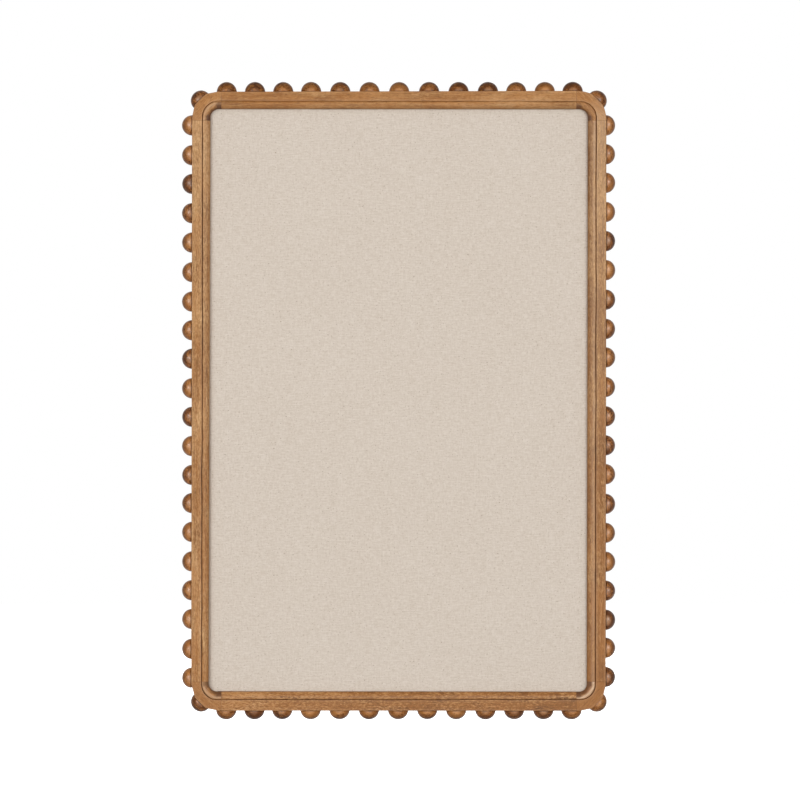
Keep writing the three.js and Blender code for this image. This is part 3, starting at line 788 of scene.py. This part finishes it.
def bead_profile(radius, rise):
    fillet = BEAD_BASE_FILLET
    centre = math.sqrt((radius - fillet) ** 2 - fillet ** 2)
    meet = math.atan2(fillet, centre)
    glue = GLUE_SHOWING - GLUE_LINE
    profile = [(0, glue), (radius * GLUE_SEAT, glue), (radius * GLUE_SEAT, 0)]
    for turn in steps(-math.pi / 2, meet, 4):
        profile.append((centre + fillet * math.cos(turn), fillet + fillet * math.sin(turn)))
    for turn in steps(meet, math.pi / 2, 14)[1:-1]:
        profile.append((radius * math.cos(turn), radius * math.sin(turn)))
    profile.append((0, radius))
    return [(across, height * (rise if height > 0 else 1)) for across, height in profile]


def painted_bead_shade(facing, outwards):
    """Painted shade on a bead: most at its rim and crown, less along the frame."""
    along = max(0, 1 - max(0, facing) ** 2 - outwards ** 2)
    seen = math.sqrt(max(0, 1 - outwards ** 2 - BEAD_ALONG * along))
    rim = BEAD_DARKEST * max(0, 1 - abs(facing) / RIM_FACING)
    away = max(rim, min(BEAD_DARKEST, BEAD_FALL_OFF * (1 - seen)))
    return away if facing > 0 else away * (1 + 0.45 * facing)


def make_bead(name, node, base, outwards, radius, tone, rise, shade, foot_shade):
    """A half-ball with its flat side on base and its crown outwards, with painted shade away from the front
    and at its foot, and a painted highlight on the front of its crown.
    """
    size = radius * (1 - rng.uniform(0, BEAD_FALL_SHORT))
    points, faces = turned_solid(bead_profile(size, rise - rng.uniform(0, BEAD_FALL_SHORT)), BEAD_SIDES)
    stand = outwards.to_track_quat("Z", "Y").to_matrix()
    spin = Matrix.Rotation(rng.uniform(0, 2 * math.pi), 3, "Z")
    lean = Matrix.Rotation(rng.uniform(-0.5, 0.5), 3, "X")
    along = outwards.cross(Vector((0, 1, 0)))
    turned = [stand @ point for point in points]
    placed = [base + point + along * (point.dot(along) * (BEAD_SPREAD - 1)) for point in turned]
    offset = Vector((rng.uniform(0, 9), rng.uniform(0, 9), rng.uniform(0, 9)))
    grain = [tuple(lean @ spin @ point + offset) for point in points]
    # Strength of this bead's painted highlight
    painted_highlight = rng.uniform(*PAINTED_HIGHLIGHTS)
    shade_and_stain, polish, wear_and_highlight = [], [], []
    for point, stood in zip(points, turned):
        facing = -stood.y / size
        # Painted shade where the bead turns away from the front
        away = painted_bead_shade(facing, point.z / size)
        # Painted contact shadow at the foot
        foot = min(1, max(0, 1 - point.z / BEAD_FOOT)) * foot_shade
        front = min(1, max(0, (facing - CROWN_FACING - shade * 0.25) / 0.12))
        # Painted shade: away from the front, for the row except on the front of the crown, and the painted
        # contact shadow at the foot
        shade_and_stain.append(max(1 - (1 - away) * (1 - shade * (1 - front)), foot))
        sides = (SIDE_GLOSS - 0.3 * shade) * min(1, 2 * abs(facing))
        polish.append(sides + (CROWN_GLOSS - 0.5 * shade) * front)
        # Painted highlight on the front of the crown
        wear_and_highlight.append(painted_highlight * front)
    tones = [tone] * len(points)
    values = {"grain": grain, "tone": tones, "wear_and_highlight": wear_and_highlight, "shade_and_stain": shade_and_stain, "polish": polish}
    add_piece(name, placed, faces, BEAD_WOOD, node, values=values)


def drifted(side, share):
    """How far a row of beads has drifted along its side, from its first bead to its last."""
    first, bow, swing, last = BEAD_DRIFTS[side.name]
    bent = bow * math.sin(math.pi * share) + swing * math.sin(2 * math.pi * share)
    return first * (1 - share) + bent + last * share


def make_bead_row(side):
    node = f"bead_row_{side.name}"
    low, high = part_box(node)
    radius = (high.y - low.y) / 2
    depth = (low.y + high.y) / 2 - FRONT
    across = high - low
    reach = max(across.x, across.z) / 2 - radius
    gaps = round(2 * reach / BEAD_PITCH)
    upright = side.quarter % 2 == 0
    tip = max(abs(low.x), abs(high.x)) if upright else max(high.z - MIDDLE, MIDDLE - low.z)
    base_inset = side.across / 2 - tip + radius
    # Painted shade for this row of beads
    shade = PAINTED_ROW_SHADES[side.name]
    for i, place in enumerate(steps(-reach, reach, gaps)):
        place += drifted(side, i / gaps)
        place += rng.uniform(-0.5, 0.5) * BEAD_WANDER * (0 < i < gaps)
        edge_in = blended(*RAIL_LOOKS[side.name], i / gaps).edge_in * MM
        base = side.at(base_inset + edge_in, depth, place)
        name = f"bead_{side.name}_{i + 1:02d}"
        rise = BEAD_RISES[side.name] + edge_in / radius
        tone = rng.uniform(*BEAD_TONES)
        make_bead(name, node, base, side.way(-1, 0), radius, tone, rise, shade, FOOT_SHADE - shade)


def make_corner_bead(side, radius):
    middle = side.at(CORNER_RADIUS, FRAME_DEPTH / 2, side.length / 2 - CORNER_RADIUS)
    outwards = side.way(-1, 1).normalized()
    base = middle + outwards * (CORNER_RADIUS - BEAD_SEAT_CUT + GLUE_LINE)
    # Painted contact shadow at the corner bead's foot
    foot_shade = CORNER_FOOT_SHADES.get(side.corner, FOOT_SHADE)
    name, node = f"corner_bead_{side.corner}", f"bead_{side.corner}"
    tone = CORNER_LOOKS[side.corner].bead
    make_bead(name, node, base, outwards, radius, tone, 1, PAINTED_CORNER_BEAD_SHADE, foot_shade)


bead_low, bead_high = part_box("bead_row_left")
for one_side in SIDES:
    make_bead_row(one_side)
    make_corner_bead(one_side, (bead_high.y - bead_low.y) / 2)


# Board, back panel, screws, hangers and bumpers


def ease_edges(piece, width, sharper_than):
    ease = piece.modifiers.new("eased_edge", "BEVEL")
    ease.width = width
    ease.segments = 2
    ease.angle_limit = math.radians(sharper_than)


def thicken(piece, thickness):
    layer = piece.modifiers.new("thickness", "SOLIDIFY")
    layer.thickness = thickness
    layer.offset = 0


KEPT_FINISHES = {"fibre_board": FIBRE_BOARD, "back_panel": HARDBOARD}
for node_name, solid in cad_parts.items():
    solid.data.materials.clear()
    solid.data.materials.append(KEPT_FINISHES.get(node_name, PLAIN_WOOD))
ease_edges(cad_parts["back_panel"], PANEL_EDGE, 60)


def thread(length, head_height, shank, tip):
    """Profile of a threaded shank from its point upwards, with the top of the head at height 0."""
    core = shank / 2 - THREAD_HEIGHT / 2
    flank = SCREW_THREAD_PITCH * 0.3
    profile = [(0, -length), (core, tip - length)]
    height = tip - length + SCREW_THREAD_PITCH
    while height < -head_height - SCREW_THREAD_PITCH:
        profile += [(core, height - flank), (core + THREAD_HEIGHT, height), (core, height + flank)]
        height += SCREW_THREAD_PITCH
    return profile + [(core, -head_height - flank)]


def cross_outline(turn):
    long, short = RECESS_LENGTH / 2, RECESS_WIDTH / 2
    arm = [(long, -short), (long, short), (short, short)]
    outline = []
    for quarter_turn in range(4):
        way = Matrix.Rotation(turn + quarter_turn * math.pi / 2, 2)
        outline += [(way @ Vector(point)).to_3d() for point in arm]
    return outline


def make_screw(name, node, profile, flat_radius, turn):
    """A screw pointing forwards into the frame, with a flat top cut by a cross recess."""
    low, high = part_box(node)
    place = Vector(((low.x + high.x) / 2, high.y, (low.z + high.z) / 2))
    points, faces = turned_solid(profile + [(flat_radius, 0), (0, 0)], SCREW_SIDES)
    points.pop()
    first = len(points)
    faces = [face for face in faces if first not in face]
    rim = first - SCREW_SIDES
    circle, outline = points[rim:], cross_outline(turn)
    count = len(outline)
    points += outline
    points += [Vector((point.x * RECESS_TAPER, point.y * RECESS_TAPER, -RECESS_DEPTH)) for point in outline]
    for triangle in geometry.tessellate_polygon([circle, outline]):
        corners = [rim + i for i in triangle]
        a, b, c = (points[i] for i in corners)
        faces.append(corners if (b - a).cross(c - a).z > 0 else corners[::-1])
    faces += ring_of_faces(first, first + count, count)
    faces.append(tuple(range(first + count, first + 2 * count)))
    placed = [place + TO_WALL @ point for point in points]
    add_piece(name, placed, faces, STEEL, node)


def make_back_screws():
    for node in sorted(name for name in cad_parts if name.startswith("back_screw_")):
        low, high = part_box(node)
        length, head = high.y - low.y, (high.z - low.z) / 2
        profile = thread(length, BACK_SCREW_HEAD_HEIGHT, BACK_SCREW_SHANK, BACK_SCREW_TIP)
        profile.append((BACK_SCREW_SHANK / 2, -BACK_SCREW_HEAD_HEIGHT))
        profile += [(head, -HEAD_EDGE), (head, -HEAD_EDGE / 2)]
        place = node.removeprefix("back_screw_")
        make_screw(f"panel_screw_{place}", node, profile, head - HEAD_EDGE / 2, rng.uniform(0, math.pi / 2))


def make_hanger_screw(side_name):
    node = f"hanger_screw_{side_name}"
    low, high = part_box(node)
    length, head = high.y - low.y, (high.z - low.z) / 2
    crown = HANGER_SCREW_HEAD_HEIGHT
    profile = thread(length, crown, HANGER_SCREW_SHANK, HANGER_SCREW_TIP)
    profile.append((HANGER_SCREW_SHANK / 2, -crown))
    profile += [(head - HEAD_EDGE / 2, -crown), (head, -crown + HEAD_EDGE / 2)]
    for turn in steps(0, math.pi / 2, 6)[1:-1]:
        radius = head - head * 0.4 * (1 - math.cos(turn))
        profile.append((radius, -crown * 0.8 * (1 - math.sin(turn))))
    make_screw(f"strap_screw_{side_name}", node, profile, head * 0.6, 0.5)


def strap_path(reach):
    """Middle of the folded sheet as (back from the bar, up from the bar), from end to end."""
    fold = RING_WIRE / 2 + BAR_CLEARANCE + STRAP_SHEET / 2
    outer = STRAP_SHEET + STRAP_FOLD_GAP - fold
    inner_layer = [(-fold, height) for height in steps(-reach, 0, 20)]
    wrap = [(fold * math.cos(turn), fold * math.sin(turn)) for turn in steps(math.pi, -STRAP_WRAP, 24)[1:]]
    leave = Vector(wrap[-1])
    land = Vector((outer, -STRAP_NECK))
    leaving = leave - Vector((math.sin(STRAP_WRAP), math.cos(STRAP_WRAP))) * STRAP_NECK * 0.45
    landing = land + Vector((0, 1)) * STRAP_NECK * 0.35
    neck = geometry.interpolate_bezier(leave, leaving, landing, land, 10)
    outer_layer = [(outer, height) for height in steps(-STRAP_NECK, -reach, 18)[1:]]
    return inner_layer + wrap + [tuple(point) for point in neck[1:]] + outer_layer


def make_strap(side_name, bar):
    node = f"hanger_strap_{side_name}"
    low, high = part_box(node)
    half = (high.x - low.x) / 2
    reach = bar.z - low.z
    path = strap_path(reach)
    points = []
    for back, up in path:
        rounding = max(0, -up - (reach - STRAP_END_RADIUS))
        cut = STRAP_END_RADIUS - math.sqrt(max(0, STRAP_END_RADIUS ** 2 - rounding ** 2))
        points += [bar + Vector((share * (half - cut), back, up)) for share in STRAP_SHARES]
    count = len(STRAP_SHARES)
    faces = [
        (row * count + i, row * count + i + 1, (row + 1) * count + i + 1, (row + 1) * count + i)
        for row in range(len(path) - 1)
        for i in range(count - 1)
    ]
    strap = add_piece(f"folded_strap_{side_name}", points, faces, STEEL, node)
    thicken(strap, STRAP_SHEET)
    ease_edges(strap, STRAP_EDGE, 50)


def make_ring(side_name, bar):
    """A wire bent into a D, standing up from its bar."""
    radius = (RING_EYE + RING_WIRE) / 2
    path = []
    for sign, first in ((-1, math.pi), (1, 1.5 * math.pi)):
        for turn in steps(first, first + math.pi / 2, 8):
            across = sign * (radius - RING_BEND) + RING_BEND * math.cos(turn)
            path.append(Vector((across, 0, RING_BEND + RING_BEND * math.sin(turn))))
    for turn in steps(0, math.pi, 36):
        path.append(Vector((radius * math.cos(turn), 0, RING_LEG + radius * math.sin(turn))))
    wire, sides, points = RING_WIRE / 2, 20, []
    for i, point in enumerate(path):
        along = (path[(i + 1) % len(path)] - path[i - 1]).normalized()
        outwards = Vector((along.z, 0, -along.x))
        for side in range(sides):
            turn = 2 * math.pi * side / sides
            around = outwards * math.cos(turn) + Vector((0, 1, 0)) * math.sin(turn)
            points.append(bar + point + around * wire)
    faces = tube_faces(len(path), sides, closed=True)
    node, body = f"hanger_ring_{side_name}", f"{side_name}_ring"
    add_piece(f"d_ring_{side_name}", points, faces, STEEL, node, body)


def make_bumper(side_name):
    node = f"bumper_{side_name}"
    low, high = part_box(node)
    radius, height = (high.z - low.z) / 2, high.y - low.y
    profile = [(0, 0), (radius - HEAD_EDGE, 0), (radius, HEAD_EDGE)]
    for turn in steps(0, math.pi / 2, 8):
        across = radius - BUMPER_EDGE * (1 - math.cos(turn))
        profile.append((across, height - BUMPER_EDGE * (1 - math.sin(turn))))
    profile += [(radius * 0.4, height), (0, height)]
    points, faces = turned_solid(profile, 48)
    place = Vector(((low.x + high.x) / 2, low.y, (low.z + high.z) / 2))
    placed = [place + TO_WALL @ point for point in points]
    add_piece(f"rubber_foot_{side_name}", placed, faces, RUBBER, node)


make_back_screws()
for hand in ("left", "right"):
    ring_low, ring_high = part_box(f"hanger_ring_{hand}")
    bar_middle = (ring_low + ring_high) / 2
    bar_middle.z = ring_low.z + RING_WIRE / 2
    make_hanger_screw(hand)
    make_strap(hand, bar_middle)
    make_ring(hand, bar_middle)
    make_bumper(hand)


# Linen


def rounded_outline(inset, straight, arc):
    """Points round the frame at an inset, with the way outwards at each."""
    radius = max(CORNER_RADIUS - inset, 1 * MM)
    reach = Vector((FACE_WIDTH / 2 - inset - radius, FACE_HEIGHT / 2 - inset - radius))
    corners = ((1, 1), (-1, 1), (-1, -1), (1, -1))
    centres = [Vector((right * reach.x, up * reach.y)) for right, up in corners]
    outline = []
    for corner, centre in enumerate(centres):
        for turn in steps(corner * math.pi / 2, (corner + 1) * math.pi / 2, arc):
            way = Vector((math.cos(turn), math.sin(turn)))
            outline.append((centre + way * radius, way))
        following = centres[(corner + 1) % 4]
        for share in steps(0, 1, straight)[1:-1]:
            outline.append((centre.lerp(following, share) + way * radius, way))
    return outline


def cloth_path(edge, front):
    """Middle of the cloth as (inset, depth), from the middle of the face round the edge to the turn-in."""
    back = BOARD_BACK - CLOTH_THICKNESS / 2
    widest = FACE_WIDTH / 2 - CLOTH_MIDDLE
    path = [(widest - step * CLOTH_STEP, front) for step in range(CLOTH_STEPS + 1)]
    path += [(RAIL_WIDTH + rim * MM, front) for rim in NEAR_RIM]
    for turn in steps(0, math.pi / 2, 4):
        path.append((edge - CLOTH_ROLL * math.sin(turn), front + CLOTH_ROLL * (1 - math.cos(turn))))
    for turn in steps(0, math.pi / 2, 4):
        path.append((edge - CLOTH_ROLL * math.cos(turn), back - CLOTH_ROLL * (1 - math.sin(turn))))
    return path + [(inset, back) for inset in steps(edge, CLOTH_INSET + CLOTH_RETURN, 3)[1:]]


def make_linen(edge):
    """The cloth, and how much of it lies beyond the edge of the face."""
    front = linen_low.y - FRONT + CLOTH_THICKNESS / 2
    path = cloth_path(edge, front)
    points, cloth, dust_and_shadow = [], [], []
    run, before = 0, path[0]
    for inset, depth in path:
        if depth > front or inset < edge:
            run += math.dist((inset, depth), before)
        before = (inset, depth)
        for point, way in rounded_outline(inset, 24, 6):
            flat = point + way * (run - (edge - inset)) if run else point
            ripple = CLOTH_RIPPLE * noise.noise(Vector((*(point / RIPPLE_LENGTH), 2.5)))
            points.append(Vector((point.x, FRONT + depth - ripple * (depth == front), MIDDLE + point.y)))
            cloth.append((flat.x, flat.y, 0))
            # Painted shadow of the lip on the cloth, stronger at the sides than at the top and bottom
            shadow_share = SIDE_SHADOW * abs(way.x) + END_SHADOW * abs(way.y)
            dust_and_shadow.append(shadow_share * math.exp(-max(0, inset - RAIL_WIDTH) / SHADOW_REACH))
    faces = tube_faces(len(path), len(points) // len(path))[:-1]
    values = {"cloth": cloth, "dust_and_shadow": dust_and_shadow}
    piece = add_piece("linen_cloth", points, faces, LINEN, "linen_cover", values=values)
    thicken(piece, CLOTH_THICKNESS)
    return piece, run


linen_edge = CLOTH_INSET + CLOTH_THICKNESS / 2 + CLOTH_ROLL
linen_piece, linen_turn = make_linen(linen_edge)


# Camera, light and floor

CAMERA_DISTANCE = 3.6
SEEN_WIDTH = 1.141
SENSOR = 36
IMAGE_SIZE = 800
CENTRE_RIGHT = -1.14
CENTRE_DOWN = 1.12


def make_camera():
    data = bpy.data.cameras.new("camera")
    data.sensor_width = SENSOR
    data.lens = SENSOR * CAMERA_DISTANCE / SEEN_WIDTH
    data.shift_x = -CENTRE_RIGHT / IMAGE_SIZE
    data.shift_y = CENTRE_DOWN / IMAGE_SIZE
    camera = put_in_scene("camera", data)
    camera.location = (0, FRONT - CAMERA_DISTANCE, MIDDLE)
    camera.rotation_euler = (math.pi / 2, 0, 0)
    bpy.context.scene.camera = camera


def make_lamp(name, azimuth, elevation, distance, size, power, mirrored=True):
    """A soft lamp aimed at the middle of the board; its azimuth is counted from the viewer's side."""
    data = bpy.data.lights.new(name, "AREA")
    data.shape = "RECTANGLE"
    data.size, data.size_y = size
    data.energy = power
    lamp = put_in_scene(name, data)
    a, e = math.radians(azimuth), math.radians(elevation)
    back = Vector((math.sin(a) * math.cos(e), -math.cos(a) * math.cos(e), math.sin(e)))
    lamp.location = Vector((0, FRONT, MIDDLE)) + back * distance
    lamp.rotation_mode = "QUATERNION"
    lamp.rotation_quaternion = back.to_track_quat("Z", "Y")
    lamp.visible_camera = False
    lamp.visible_glossy = mirrored


def backdrop_strength(tree, otherwise, seen):
    """A strength that differs for rays that show the backdrop: straight, in a gloss or through glass."""
    path = tree.nodes.new("ShaderNodeLightPath")
    most = path.outputs["Is Camera Ray"]
    for name in ("Is Glossy Ray", "Is Transmission Ray"):
        larger = tree.nodes.new("ShaderNodeMath")
        larger.operation = "MAXIMUM"
        tree.links.new(most, larger.inputs[0])
        tree.links.new(path.outputs[name], larger.inputs[1])
        most = larger.outputs[0]
    strength = tree.nodes.new("ShaderNodeMapRange")
    strength.inputs[3].default_value = otherwise
    strength.inputs[4].default_value = seen
    tree.links.new(most, strength.inputs[0])
    return strength.outputs[0]


def make_world(fill):
    world = bpy.data.worlds.new("studio")
    world.use_nodes = True
    tree = world.node_tree
    background = tree.nodes["Background"]
    background.inputs["Color"].default_value = (1, 1, 1, 1)
    tree.links.new(backdrop_strength(tree, fill, 1), background.inputs["Strength"])
    bpy.context.scene.world = world


def make_floor(drop, width, shade, glow):
    mesh = bpy.data.meshes.new("floor")
    height = cad_box[0].z - drop
    corners = [(-1, -1), (1, -1), (1, 1), (-1, 1)]
    mesh.from_pydata([(x * width / 2, y * width / 2, height) for x, y in corners], [], [(0, 1, 2, 3)])
    material = bpy.data.materials.new("pale_floor")
    material.use_nodes = True
    tree = material.node_tree
    tree.nodes.clear()
    diffuse, shining, both, output = (
        tree.nodes.new("ShaderNode" + kind)
        for kind in ("BsdfDiffuse", "Emission", "AddShader", "OutputMaterial")
    )
    diffuse.inputs["Color"].default_value = (shade, shade, shade, 1)
    tree.links.new(backdrop_strength(tree, 0, glow), shining.inputs["Strength"])
    tree.links.new(diffuse.outputs[0], both.inputs[0])
    tree.links.new(shining.outputs[0], both.inputs[1])
    tree.links.new(both.outputs[0], output.inputs[0])
    mesh.materials.append(material)
    put_in_scene("floor", mesh)


make_camera()
make_world(fill=0.35)
make_floor(drop=0.4, width=14, shade=0.5, glow=0.9)
make_lamp("left_lamp", azimuth=-38, elevation=9, distance=8, size=(2.6, 3), power=213)
make_lamp("right_lamp", azimuth=35, elevation=9, distance=8, size=(2.6, 3), power=207)
make_lamp("low_fill", azimuth=-4, elevation=-16, distance=3, size=(1.8, 0.8), power=26)
make_lamp("back_lamp", azimuth=180, elevation=6, distance=5, size=(2.4, 2.4), power=150, mirrored=False)
bpy.context.scene.view_settings.view_transform = "Standard"
